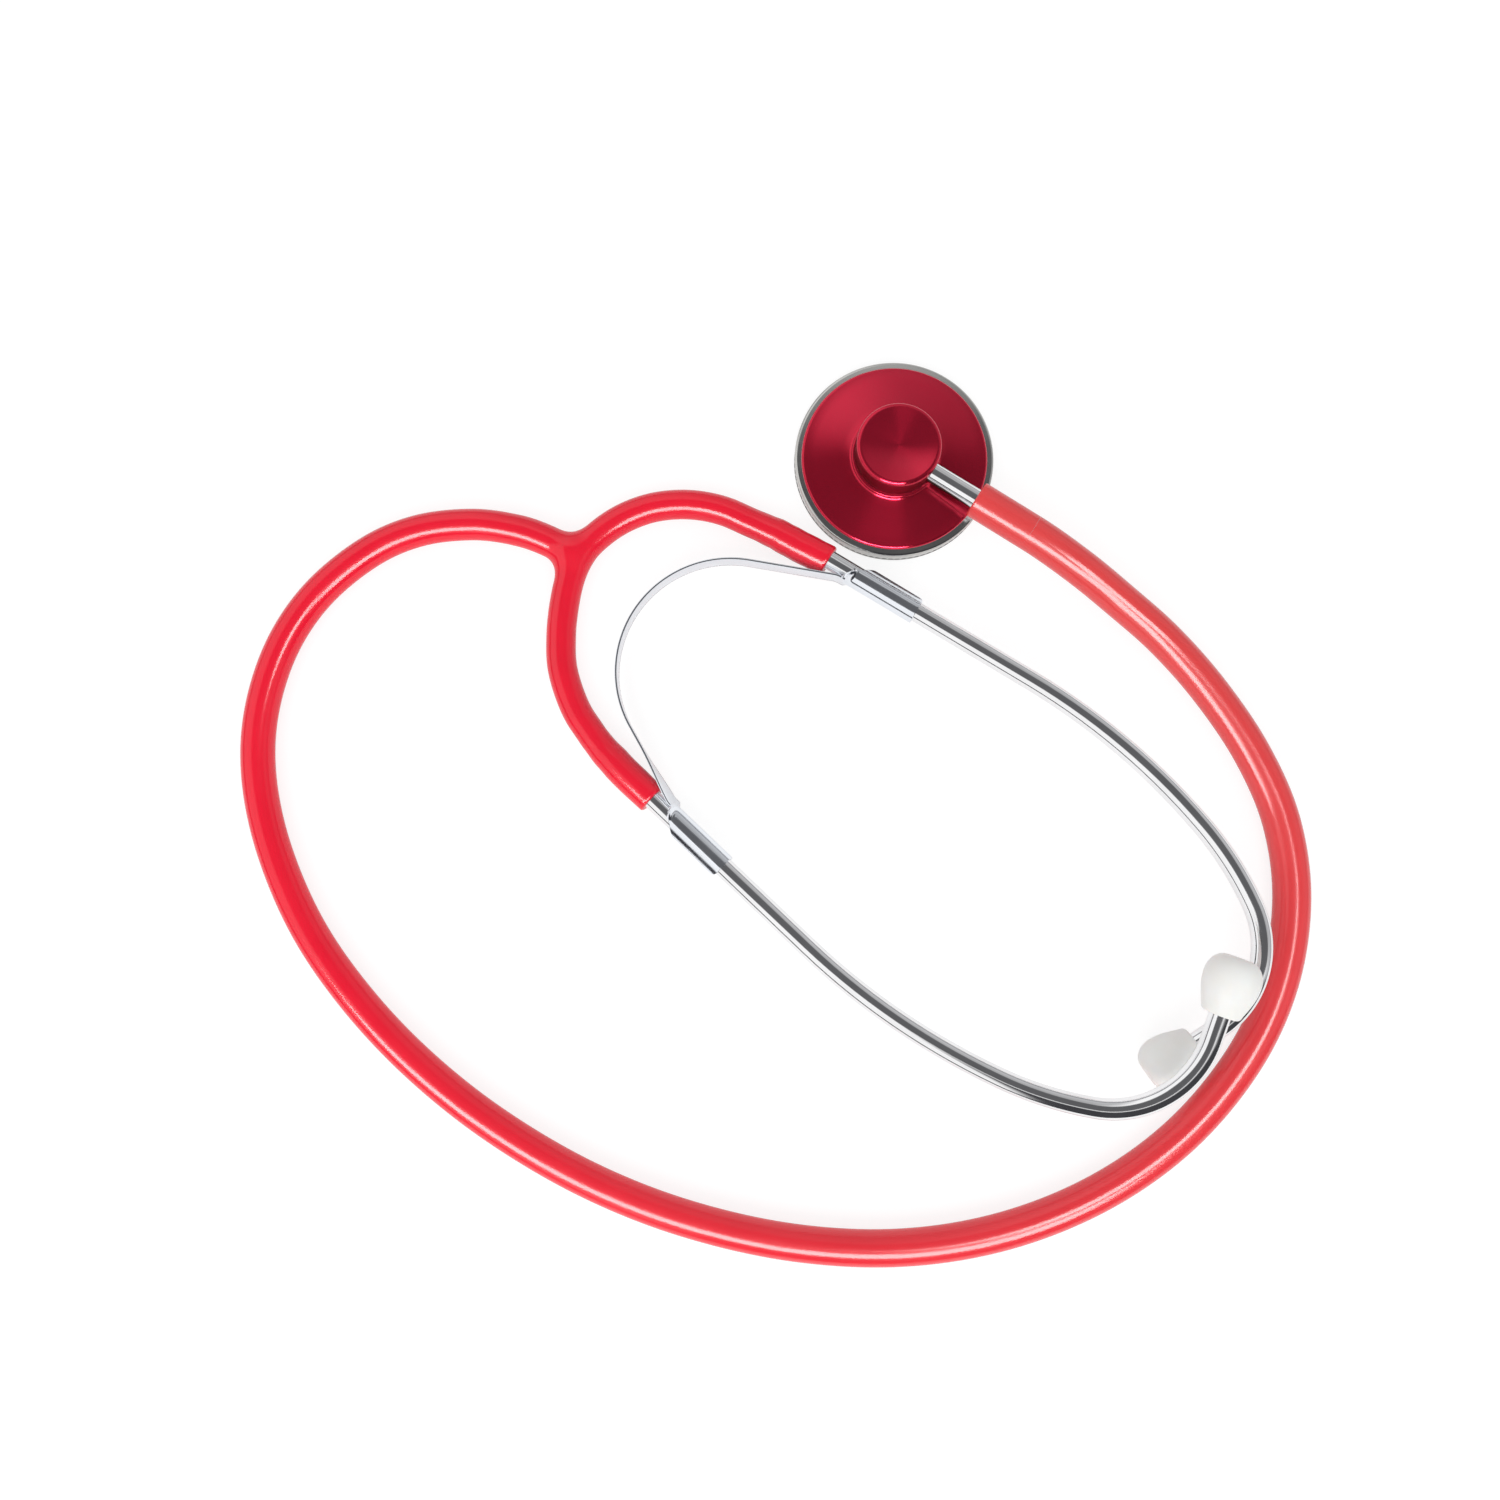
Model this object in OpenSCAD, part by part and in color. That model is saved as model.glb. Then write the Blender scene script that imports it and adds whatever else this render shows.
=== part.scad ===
// Stethoscope with a single-sided chestpiece, moulded Y tubing and a sprung binaural.
// Millimetres, +Z up. The origin is the middle of the diaphragm's outer face, which lies on the
// table with the stem pointing along stem_angle. The tubing and the binaural lie round it.
// The left ear tube is the one beside the chestpiece, and the right one crosses over its tip.

/* [Retaining ring] */
// Outer diameter of the chrome ring
ring_d = 44.8; // [40:0.2:46]
// Height of the ring above the table
ring_h = 4.4; // [3.8:0.1:4.6]
// Wall of the ring round the head
ring_wall = 1.5; // [1:0.1:2]
// Width of the lip that holds the diaphragm
ring_lip = 3.9; // [3:0.1:4.2]
// Thickness of that lip
ring_lip_h = 1; // [0.6:0.1:1.2]
// Rounding of the ring's outer edges
ring_round = 0.7; // [0.3:0.1:0.9]
// Ridges in the knurled band
knurl_count = 96; // [60:4:120]
// Height of a ridge
knurl_depth = 0.25; // [0.1:0.05:0.4]

/* [Diaphragm] */
// Thickness of the diaphragm
diaphragm_t = 0.4; // [0.2:0.1:0.6]
// Width of its clamped edge
diaphragm_edge = 2.5; // [2.3:0.1:2.8]
// Width of its sloped step
diaphragm_step = 0.6; // [0.4:0.1:1]

/* [Head] */
// Height of the head's rim above the table
rim_h = 4.8; // [4.6:0.1:5.2]
// Height of the head's cone where it meets the hub
crown_h = 6; // [5.6:0.1:6.4]
// Diameter of the hub
hub_d = 18.6; // [17:0.2:20]
// Height of the hub's top above the table
hub_top = 14.1; // [13.4:0.1:16]
// Rounding of the hub's top edge
hub_round = 0.9; // [0.4:0.1:1.4]
// Width of the bead round the hub's foot
bead_w = 0.5; // [0.3:0.1:0.8]
// Height of that bead
bead_h = 0.9; // [0.6:0.1:1.2]
// Width and depth of the groove above the bead
groove = 0.3; // [0.2:0.05:0.5]
// Width of the head's face round the sound cup behind the diaphragm
cup_wall = 2.1; // [1.6:0.1:3]
// Depth of the cup's straight edge
cup_edge = 0.8; // [0.4:0.1:1]
// Depth of the cup at its middle
cup_depth = 2.6; // [1.8:0.1:3]
// Diameter of the sound hole up to the stem
sound_d = 3; // [2:0.1:3.6]

/* [Stem] */
// Outer diameter of the stem
stem_d = 4.4; // [4:0.1:5]
// Bore of the stem
stem_bore = 2.6; // [2:0.1:3]
// Height of the stem's axis above the table
stem_z = 9.6; // [9.4:0.1:10]
// Length of stem that shows between the hub and the tubing
stem_show = 11; // [10:0.5:14]
// Length of stem inside the tubing
stem_grip = 12; // [8:0.5:13]
// Chamfer at the stem's far end
stem_chamfer = 0.3; // [0.1:0.1:0.5]

/* [Tubing] */
// Diameter of the main tube at the yoke
hose_d_yoke = 6.9; // [6:0.1:7]
// Diameter of the main tube at the chestpiece
hose_d_chest = 8.1; // [7.6:0.1:8.2]
// Length of the straight end that grips the stem
hose_end_len = 14; // [13.5:0.5:16]
// Diameter of the two arms
arm_d = 6.7; // [6:0.1:6.8]
// Diameter of an arm's end, stretched over the ear tube
cuff_d = 7; // [6.9:0.1:7.4]
// Length of that end
cuff_len = 9; // [8.5:0.5:11]
// Rounding of the three open ends of the tubing
end_round = 0.45; // [0.2:0.05:0.6]
// Radius of the webs between the branches of the yoke
web_r = 2.7; // [2.2:0.1:3]
// Reach of the webs along each branch
web_reach = 8.5; // [7:0.5:9]

/* [Ear tubes] */
// Outer diameter of an ear tube
ear_d = 4.4; // [4:0.1:4.8]
// Bore of an ear tube
ear_bore = 3.2; // [2.4:0.1:3.4]
// Length inside the left arm's end
ear_grip = 7.5; // [6:0.5:8]
// Straight length from the middle of the left clip to the first bend
ear_straight = 37; // [34:0.5:40]
// Radius of the long bend
long_bend_r = 145; // [140:1:150]
// Turn of the long bend in degrees
long_bend_angle = 19; // [17:0.5:21]
// Radius of the middle bend
mid_bend_r = 71; // [68:1:74]
// Turn of the middle bend in degrees
mid_bend_angle = 16; // [14:0.5:18]
// Radius of the hook
hook_r = 21.5; // [20:0.5:23]
// Turn of the hook in degrees
hook_angle = 79; // [76:0.5:80]
// Straight length from the hook to the ear tip
ear_end = 5.5; // [4:0.5:7]

/* [Ear tips] */
// Largest diameter of an ear tip
tip_d = 12.2; // [11:0.1:12.4]
// Length of an ear tip
tip_len = 13; // [12:0.5:14]
// Distance of its widest place from the base
tip_belly = 8.2; // [7:0.1:9]
// Diameter of its base
tip_base_d = 8.4; // [7:0.1:9]
// Rounding of its base
tip_base_round = 1; // [0.5:0.1:1.5]
// Diameter of the flat round the sound hole
tip_end_d = 5.2; // [4:0.1:6]
// Diameter of the sound hole
tip_hole_d = 2; // [1.4:0.1:2.6]
// Depth of the socket for the ear tube
tip_seat = 9; // [7:0.5:10]

/* [Leaf spring] */
// Width of the spring strip
strip_w = 6; // [5:0.2:6.4]
// Thickness of the spring strip
strip_t = 0.7; // [0.5:0.1:0.8]
// Radius of the spring's loop
loop_r = 25; // [23:0.5:26]
// Radius of the kink at each clip
kink_r = 5; // [4:0.5:6]
// Length of a rolled clip
clip_len = 16; // [14:0.5:18]
// Sheet thickness of a rolled clip
clip_wall = 0.7; // [0.5:0.1:0.8]
// Width of the slit along a clip
clip_slit = 0.9; // [0.5:0.1:1.4]
// Length of the tongue that joins a clip to the strip
tongue_len = 1; // [0.8:0.1:1.5]
// Radius of the rounded flap corner
flap_r = 3; // [2:0.2:3.6]

/* [Hidden] */
$fn = 72;
// Running gap between pieces that turn on each other
run_gap = 0.05;
// Gap between pieces that are pressed or screwed together
fit_gap = 0.03;
// How far shapes run past a face that they cut or join
overrun = 0.4;
// How far a seam between two bends stands proud, and its length
seam_proud = 0.02;
seam_len = 0.8;
// Facets of a rounded edge, of the spring's loop, and round a swept tube and a web
edge_steps = 6;
loop_steps = 30;
tube_sides = 12;
web_sides = 20;
// Steps of a swept tube between two route points
hose_steps = 2;
arm_steps = 3;
// Gap between an ear tube and the spring that passes beside it
strip_gap = 0.12;

// Directions on the table: the stem, and the straight ends of the two ear tubes, in degrees
stem_angle = -32.5;
left_angle = -32.2;
right_angle = -43.4;
// Rise of each ear tube towards its tip, and how far its bend plane leans, in degrees
left_rise_angle = 3.2;
right_rise_angle = 4.5;
left_lean_angle = 5;
right_lean_angle = 8;
// The left clip lies beside the ring: its place along the stem and its gap to the ring
lay_along = 14.7;
lay_gap = 5.1;
// Height of both clips above the table, and how far the strip's middle lies below that
clip_z = 5.4;
strip_drop = 0.6;
// A point on the right ear tube's straight end, and how far beyond it the right clip sits
right_tube_at = [-47.1, -83, clip_z];
right_slide = 4.3;
// Gap between the middle of a clip and the arm's end
left_arm_gap = 14.5;
right_arm_gap = 13.4;
// Directions in which the spring leaves the left clip and reaches the right one, in degrees
loop_from_angle = 169;
loop_to_angle = 298.5;
// Side of the clip that the slit faces, in degrees above the table
slit_angle = 40;

// Radii and heights
ring_r = ring_d / 2;
ring_bore_r = ring_r - ring_wall;
lip_r = ring_r - ring_lip;
knurl_low = ring_lip_h + knurl_depth;
knurl_high = ring_h - ring_round - knurl_depth;
head_r = ring_bore_r - fit_gap;
head_low = ring_lip_h + diaphragm_t;
hub_r = hub_d / 2;
cup_r = head_r - cup_wall;
sound_r = sound_d / 2;
stem_r = stem_d / 2;
hose_end_x = hub_r + stem_show;
hose_r_yoke = hose_d_yoke / 2;
hose_r_chest = hose_d_chest / 2;
arm_r = arm_d / 2;
cuff_r = cuff_d / 2;
ear_r = ear_d / 2;
socket_r = ear_r + run_gap;
clip_r = socket_r + clip_wall;
strip_side = ear_r + strip_gap + strip_t / 2;
strip_low = -strip_w / 2 - strip_drop;
tongue_end = clip_len / 2 + tongue_len;
// The two ear tubes are alike, so the right one reaches deeper into its arm
ear_stub = left_arm_gap + ear_grip;
right_grip = ear_stub + right_slide - right_arm_gap;
cuff_floor = cuff_len - ear_grip;

// Unit directions, level and with a rise
function heading(a, rise = 0) = [cos(a) * cos(rise), sin(a) * cos(rise), sin(rise)];
function flat(v) = [v[0], v[1]];
function unit(v) = v / norm(v);
stem_dir = heading(stem_angle);
left_axis = heading(left_angle, left_rise_angle);
right_axis = heading(right_angle, right_rise_angle);
left_clip_at = lay_along * stem_dir + (ring_r + lay_gap) * heading(stem_angle - 90) + [0, 0, clip_z];
right_clip_at = right_tube_at + right_slide * right_axis;

// Route of the main tube, from the middle of the yoke to the straight end at the stem
hose_end_at = (hose_end_x + hose_end_len) * stem_dir + [0, 0, stem_z];
hose_route = [
    [-71, -22.5, 3.5], [-77.5, -18.8, 3.5], [-85, -16.2, 3.5], [-95, -15, 3.6], [-107, -16.5, 3.6],
    [-118, -21.5, 3.6], [-129, -31, 3.6], [-136.5, -43, 3.7], [-140.5, -57.5, 3.7],
    [-140.5, -72, 3.7], [-136.5, -88, 3.7], [-128.5, -105, 3.7], [-117, -120.5, 3.8],
    [-103, -134.5, 3.8], [-86.5, -147, 3.8], [-67, -158, 3.8], [-46, -166, 3.9], [-23, -171, 3.9],
    [0, -172, 3.9], [22, -168.5, 3.9], [42.5, -160.5, 3.9], [60, -148.5, 4], [73.8, -132.9, 4],
    [82.2, -116.3, 4], [85.6, -98.5, 4], [84, -81.6, 4], [78.1, -66.6, 4.1], [69.3, -52.8, 4.2],
    [59.5, -41.5, 4.8], [49.2, -32.8, 6.4], [39.6, -25.7, 8.6], hose_end_at
];
// The yoke takes the stretches before this point of the route
hose_from = 2;

// Route of the two arms, from the left ear tube through the yoke to the right one. The stretch
// beside the chestpiece keeps its place to the left clip.
arm_route = [
    left_clip_at - (left_arm_gap + cuff_len - overrun) * left_axis,
    left_clip_at + [-28.6, 15.9, -1.8], left_clip_at + [-36.1, 19.3, -2],
    left_clip_at + [-43.6, 20.7, -2], [-53.5, -10.9, 3.4], [-60, -13.1, 3.4], [-65.5, -16.6, 3.4],
    [-70, -21.2, 3.4], [-72.6, -27, 3.4], [-74, -34, 3.4], [-74.5, -41, 3.4], [-74, -48, 3.4],
    [-71.3, -56, 3.4], [-67, -63.4, 3.5],
    right_clip_at - (right_arm_gap + right_grip + cuff_floor - overrun) * right_axis
];
// The yoke takes the stretches between these points of the route, and its middle is at yoke_mid
yoke_from = 5;
yoke_mid = 7;
yoke_to = 9;

// Smooth curve through a route's points
function between(a, b, c, d, t) =
    (2 * b + (c - a) * t + (2 * a - 5 * b + 4 * c - d) * t * t + (3 * b - a - 3 * c + d) * t * t * t) / 2;
function smooth(route, steps) = let (last = len(route) - 1) concat(
    [for (i = [0 : last - 1], k = [0 : steps - 1])
        between(route[max(i - 1, 0)], route[i], route[i + 1], route[min(i + 2, last)], k / steps)],
    [route[last]]);
// Direction of each point of a curve, with the directions of its two ends given
function headings(curve, first, last) = let (n = len(curve) - 1)
    [for (i = [0 : n]) i == 0 ? first : i == n ? last : unit(curve[i + 1] - curve[i - 1])];
// Ring of points round one point of a curve
function ring_at(p, t, r) = let (side = unit(cross(t, [0, 0, 1])), up = cross(side, t))
    [for (k = [0 : tube_sides - 1]) let (a = 360 * k / tube_sides) p + r * (cos(a) * side + sin(a) * up)];
// Points of a rounded edge in an outline
function corner(c, r, a0, a1) =
    [for (i = [0 : edge_steps]) let (a = a0 + (a1 - a0) * i / edge_steps) c + r * [cos(a), sin(a)]];

hose_curve = smooth(hose_route, hose_steps);
hose_headings = headings(hose_curve, unit(hose_route[1] - hose_route[0]), -stem_dir);
hose_last = len(hose_curve) - 1;
hose_radii = [for (i = [0 : hose_last]) hose_r_yoke + (hose_r_chest - hose_r_yoke) * i / hose_last];
arm_curve = smooth(arm_route, arm_steps);
arm_headings = headings(arm_curve, -left_axis, right_axis);
arm_radii = [for (p = arm_curve) arm_r];

// The spring's middle line: kink, straight, loop, straight, kink. The two straight lengths are
// solved so that it ends at both clips.
function turn_by(r, a, b) = r * [sin(b) - sin(a), cos(a) - cos(b)];
function det(a, b) = a[0] * b[1] - a[1] * b[0];
kink_from_angle = left_angle + 180;
kink_to_angle = right_angle + 360;
dir_from = flat(heading(loop_from_angle));
dir_to = flat(heading(loop_to_angle));
spring_start = flat(left_clip_at - tongue_end * heading(left_angle)
    + strip_side * heading(left_angle - 90));
spring_end = flat(right_clip_at - tongue_end * heading(right_angle)
    + strip_side * heading(right_angle + 90));
straights = spring_end - spring_start - turn_by(kink_r, kink_from_angle, loop_from_angle)
    - turn_by(loop_r, loop_from_angle, loop_to_angle) - turn_by(kink_r, loop_to_angle, kink_to_angle);
loop_start = spring_start + turn_by(kink_r, kink_from_angle, loop_from_angle)
    + det(straights, dir_to) / det(dir_from, dir_to) * dir_from;
loop_end = loop_start + turn_by(loop_r, loop_from_angle, loop_to_angle);
kink_start = loop_end + det(dir_from, straights) / det(dir_from, dir_to) * dir_to;
// One side of the strip, at the distance e from the middle line
function side_of(at, r, a, b, e, n) = [for (i = [0 : n]) let (t = a + (b - a) * i / n)
    at + turn_by(r, a, t) + e * flat(heading(t + 90))];
function strip_edge(e) = concat(
    side_of(spring_start, kink_r, kink_from_angle, loop_from_angle, e, edge_steps),
    side_of(loop_start, loop_r, loop_from_angle, loop_to_angle, e, loop_steps),
    side_of(kink_start, kink_r, loop_to_angle, kink_to_angle, e, edge_steps));

// Runs of an ear tube from the place of the left clip's middle: [radius, turn], or [0, length] where straight
ear_runs = [
    [0, ear_straight], [long_bend_r, long_bend_angle], [mid_bend_r, mid_bend_angle], [hook_r, hook_angle],
    [0, ear_end + tip_seat]
];
last_run = len(ear_runs) - 1;

// Frame of the stem, +Z out along it
module on_stem() {
    translate([0, 0, stem_z]) rotate([0, 0, stem_angle]) rotate([0, 90, 0]) children();
}
// Frames of the two clips, +X along the ear tube and +Y towards the other one, level or with the rise
module on_left(lean = 0, rise = left_rise_angle) {
    translate(left_clip_at) rotate([lean, -rise, left_angle]) mirror([0, 1, 0]) children();
}
module on_right(lean = 0, rise = right_rise_angle) {
    translate(right_clip_at) rotate([lean, -rise, right_angle]) children();
}
// Frame of the right ear tube, which has slid back through its clip
module in_right_clip() {
    on_right(right_lean_angle) translate([-right_slide, 0, 0]) children();
}

// Tube swept along a stretch of a curve
module swept_tube(curve, dirs, radii, from, to) {
    n = tube_sides;
    rings = to - from;
    polyhedron(
        points = [for (i = [from : to]) each ring_at(curve[i], dirs[i], radii[i])],
        faces = concat(
            [[for (k = [0 : n - 1]) n - 1 - k], [for (k = [0 : n - 1]) rings * n + k]],
            [for (i = [0 : rings - 1], k = [0 : n - 1])
                [i * n + k, i * n + (k + 1) % n, (i + 1) * n + (k + 1) % n]],
            [for (i = [0 : rings - 1], k = [0 : n - 1])
                [i * n + k, (i + 1) * n + (k + 1) % n, (i + 1) * n + k]]));
}
module hose_stretch(from, to) {
    swept_tube(hose_curve, hose_headings, hose_radii, from, to);
}
module arm_stretch(from, to) {
    swept_tube(arm_curve, arm_headings, arm_radii, from, to);
}

module retaining_ring() {
    ridge_r = ring_r - fit_gap;
    floor_r = ridge_r - knurl_depth / 2;
    color("lightgrey") {
        rotate_extrude() polygon(concat(
            [[lip_r, 0]],
            corner([ring_r - ring_round, ring_round], ring_round, -90, 0),
            [[ring_r, knurl_low], [floor_r, knurl_low], [floor_r, knurl_high], [ring_r, knurl_high]],
            corner([ring_r - ring_round, ring_h - ring_round], ring_round, 0, 90),
            [[ring_bore_r, ring_h], [ring_bore_r, ring_lip_h], [lip_r, ring_lip_h]]));
        translate([0, 0, knurl_low - knurl_depth / 2])
            linear_extrude(knurl_high - knurl_low + knurl_depth) difference() {
                polygon([for (i = [0 : knurl_count * 2 - 1]) let (a = 180 * i / knurl_count)
                    (ridge_r - (i % 2) * knurl_depth) * [cos(a), sin(a)]]);
                circle(r = ridge_r - knurl_depth * 2);
            }
    }
}

module diaphragm() {
    edge_r = head_r - fit_gap;
    clamp_r = edge_r - diaphragm_edge;
    flat_r = clamp_r - diaphragm_step;
    color("ivory") rotate_extrude() polygon([
        [0, 0], [flat_r, 0], [clamp_r, ring_lip_h], [edge_r, ring_lip_h], [edge_r, head_low],
        [clamp_r - diaphragm_t / 2, head_low], [flat_r - diaphragm_t / 2, diaphragm_t], [0, diaphragm_t]]);
}

module chestpiece_head() {
    rim_round = (rim_h - ring_h) / 2;
    bead_top = crown_h + bead_h;
    bead_round = bead_w / 2;
    color("firebrick") difference() {
        rotate_extrude() polygon(concat(
            [[cup_r, head_low], [head_r, head_low]],
            corner([head_r - rim_round, rim_h - rim_round], rim_round, 0, 90),
            [[hub_r + bead_w * 2, crown_h]],
            corner([hub_r + bead_w - bead_round, bead_top - bead_round], bead_round, 0, 90),
            [[hub_r - groove, bead_top], [hub_r - groove, bead_top + groove],
             [hub_r, bead_top + groove * 2]],
            corner([hub_r - hub_round, hub_top - hub_round], hub_round, 0, 90),
            [[0, hub_top], [0, stem_z], [sound_r, stem_z], [sound_r, head_low + cup_depth],
             [cup_r, head_low + cup_edge]]));
        on_stem() cylinder(r = stem_r + fit_gap, h = hub_r + overrun);
    }
}

module chestpiece_stem() {
    seat = sound_r + fit_gap;
    far_end = hose_end_x + stem_grip;
    color("silver") on_stem() rotate_extrude() polygon([
        [stem_bore / 2, seat], [stem_r, seat], [stem_r, far_end - stem_chamfer],
        [stem_r - stem_chamfer, far_end], [stem_bore / 2, far_end]]);
}

module tubing_end() {
    color("tomato") on_stem() translate([0, 0, hose_end_x]) rotate_extrude() polygon(concat(
        [[stem_r + run_gap, 0]],
        corner([hose_r_chest - end_round, end_round], end_round, -90, 0),
        [[hose_r_chest, hose_end_len], [stem_r + run_gap, hose_end_len]]));
}

module main_tube() {
    color("tomato") hose_stretch(hose_from * hose_steps, hose_last);
}

module tubing_yoke() {
    middle = arm_route[yoke_mid];
    function along(p) = middle + web_reach * unit(p - middle);
    color("red") {
        hose_stretch(0, hose_from * hose_steps);
        arm_stretch(yoke_from * arm_steps, yoke_to * arm_steps);
        for (i = [yoke_from, yoke_to]) hull() for (at = [middle, along(hose_route[1]), along(arm_route[i])])
            translate(at) sphere(r = web_r, $fn = web_sides);
    }
}

// Straight end of an arm, in the frame of the clip whose ear tube it grips
module arm_cuff(gap, grip) {
    depth = grip + run_gap;
    length = grip + cuff_floor;
    translate([-gap, 0, 0]) rotate([0, -90, 0]) rotate_extrude() polygon(concat(
        [[socket_r, 0]],
        corner([cuff_r - end_round, end_round], end_round, -90, 0),
        [[cuff_r, length], [0, length], [0, depth], [socket_r, depth]]));
}
module tubing_arm_left() {
    color("red") {
        arm_stretch(0, yoke_from * arm_steps);
        on_left() arm_cuff(left_arm_gap, ear_grip);
    }
}
module tubing_arm_right() {
    color("red") {
        arm_stretch(yoke_to * arm_steps, len(arm_curve) - 1);
        on_right() arm_cuff(right_arm_gap, right_grip);
    }
}

module leaf_spring() {
    inner = strip_edge(-strip_t / 2);
    outer = strip_edge(strip_t / 2);
    last = len(outer) - 1;
    color("gainsboro") translate([0, 0, clip_z + strip_low]) linear_extrude(strip_w)
        polygon(concat(inner, [for (i = [0 : last]) outer[last - i]]));
}

// Sheet rolled round the ear tube, open along a slit, with a rounded flap corner
module sleeve() {
    rotate([0, 90, 0]) cylinder(r = clip_r, h = clip_len, center = true);
}
module sleeve_cuts() {
    rotate([0, 90, 0]) cylinder(r = socket_r, h = clip_len * 2, center = true);
    rotate([-slit_angle, 0, 0]) translate([-clip_len, -clip_r - overrun, -clip_slit / 2])
        cube([clip_len * 2, clip_r + overrun, clip_slit]);
    translate([-clip_len / 2, -clip_r, 0]) cylinder(r = flap_r, h = clip_r * 2 + overrun, center = true);
}
// Tongue that runs on into the spring, level with it
module tongue(drop = 0) {
    translate([-tongue_end, strip_side - strip_t / 2, strip_low - drop])
        cube([tongue_len + clip_wall * 2, strip_t, strip_w]);
}
module spring_clip_left() {
    color("silver") difference() {
        union() {
            on_left() sleeve();
            on_left(rise = 0) tongue();
        }
        on_left() sleeve_cuts();
    }
}
module spring_clip_right() {
    color("silver") difference() {
        union() {
            on_right() sleeve();
            on_right(rise = 0) tongue(right_slide * sin(right_rise_angle));
        }
        on_right() sleeve_cuts();
    }
}

// Bent tube that starts along +X and bends towards +Y, with a fine seam at each change of bend
module tube_wall(proud = 0) {
    difference() {
        circle(r = ear_r + proud);
        circle(r = ear_bore / 2 - proud);
    }
}
module straight_tube(length, proud = 0) {
    rotate([90, 0, 90]) linear_extrude(length) tube_wall(proud);
}
module bent_tube(runs, i = 0) {
    bend = runs[i][0];
    size = runs[i][1];
    if (i > 0) translate([-seam_len / 2, 0, 0]) straight_tube(seam_len, seam_proud);
    if (bend == 0) straight_tube(size);
    else translate([0, bend, 0]) rotate([0, 0, -90]) rotate_extrude(angle = size)
        translate([bend, 0]) tube_wall();
    if (i < last_run) after_run(bend, size) bent_tube(runs, i + 1);
}
// Frame at the far end of a run
module after_run(bend, size) {
    if (bend == 0) translate([size, 0, 0]) children();
    else translate([0, bend, 0]) rotate([0, 0, size]) translate([0, -bend, 0]) children();
}
module ear_tube() {
    runs = [for (i = [0 : last_run]) i == 0 ? [0, ear_stub + ear_straight] : ear_runs[i]];
    translate([-ear_stub, 0, 0]) bent_tube(runs);
}
// Frame at the ear tip's base, +Z out along the tube
module at_tip(i = 0) {
    if (i < last_run) after_run(ear_runs[i][0], ear_runs[i][1]) at_tip(i + 1) children();
    else translate([ear_end, 0, 0]) rotate([0, 90, 0]) children();
}
module ear_tip() {
    tip_r = tip_d / 2;
    base_r = tip_base_d / 2;
    hole_r = tip_hole_d / 2;
    dome_r = tip_r - tip_end_d / 2;
    depth = tip_seat + run_gap;
    swell = [for (i = [0 : edge_steps]) let (t = i / edge_steps)
        [base_r + (tip_r - base_r) * sin(90 * t), tip_base_round + (tip_belly - tip_base_round) * t]];
    dome = [for (i = [1 : edge_steps]) let (a = 90 * i / edge_steps)
        [tip_r - dome_r * (1 - cos(a)), tip_belly + (tip_len - tip_belly) * sin(a)]];
    rotate_extrude() polygon(concat(
        [[socket_r, 0], [base_r - tip_base_round / 2, 0]], swell, dome,
        [[hole_r, tip_len], [hole_r, depth], [socket_r, depth]]));
}

module ear_tube_left() {
    color("silver") on_left(left_lean_angle) ear_tube();
}
module ear_tube_right() {
    color("silver") in_right_clip() ear_tube();
}
module ear_tip_left() {
    color("whitesmoke") on_left(left_lean_angle) at_tip() ear_tip();
}
module ear_tip_right() {
    color("whitesmoke") in_right_clip() at_tip() ear_tip();
}

chestpiece_head();
retaining_ring();
diaphragm();
chestpiece_stem();
tubing_end();
main_tube();
tubing_yoke();
tubing_arm_left();
tubing_arm_right();
leaf_spring();
spring_clip_left();
spring_clip_right();
ear_tube_left();
ear_tube_right();
ear_tip_left();
ear_tip_right();
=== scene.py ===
"""Looks of the stethoscope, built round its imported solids. Lengths are in millimetres up to scaled()."""
import math
import bpy
import numpy as np
from mathutils import Matrix, Vector


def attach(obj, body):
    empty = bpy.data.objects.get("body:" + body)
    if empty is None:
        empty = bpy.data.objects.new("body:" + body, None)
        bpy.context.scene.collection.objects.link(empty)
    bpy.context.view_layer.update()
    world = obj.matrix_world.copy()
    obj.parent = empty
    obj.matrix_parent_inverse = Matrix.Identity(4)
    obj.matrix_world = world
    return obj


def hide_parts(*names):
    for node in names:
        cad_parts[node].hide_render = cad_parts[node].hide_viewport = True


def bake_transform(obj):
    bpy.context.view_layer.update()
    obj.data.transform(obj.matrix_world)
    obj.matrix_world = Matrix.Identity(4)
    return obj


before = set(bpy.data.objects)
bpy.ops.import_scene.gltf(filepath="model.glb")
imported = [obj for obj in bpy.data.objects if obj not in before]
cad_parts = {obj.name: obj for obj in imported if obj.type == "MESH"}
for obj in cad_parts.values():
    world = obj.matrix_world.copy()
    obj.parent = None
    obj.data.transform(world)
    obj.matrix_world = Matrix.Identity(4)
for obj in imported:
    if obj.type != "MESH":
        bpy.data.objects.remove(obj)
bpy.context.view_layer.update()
bpy.ops.object.select_all(action="DESELECT")
MM = 0.001


# Camera over the table, as photographed

CAMERA_AT = (-0.032448, -0.088838, 0.267367)
CAMERA_TILT = math.radians(5)
LENS = 28.8
SENSOR = 36
bpy.ops.object.camera_add(location=CAMERA_AT, rotation=(CAMERA_TILT, 0, 0))
camera = bpy.context.object
camera.name = "camera"
camera.data.lens = LENS
camera.data.sensor_width = SENSOR
camera.data.clip_start = 0.01
camera.data.clip_end = 30
bpy.context.scene.camera = camera


# Bench tools

def heading(turn, rise=0):
    """Unit direction at an angle on the table, with a rise."""
    turn = math.radians(turn)
    rise = math.radians(rise)
    return Vector((math.cos(turn) * math.cos(rise), math.sin(turn) * math.cos(rise), math.sin(rise)))


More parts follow.
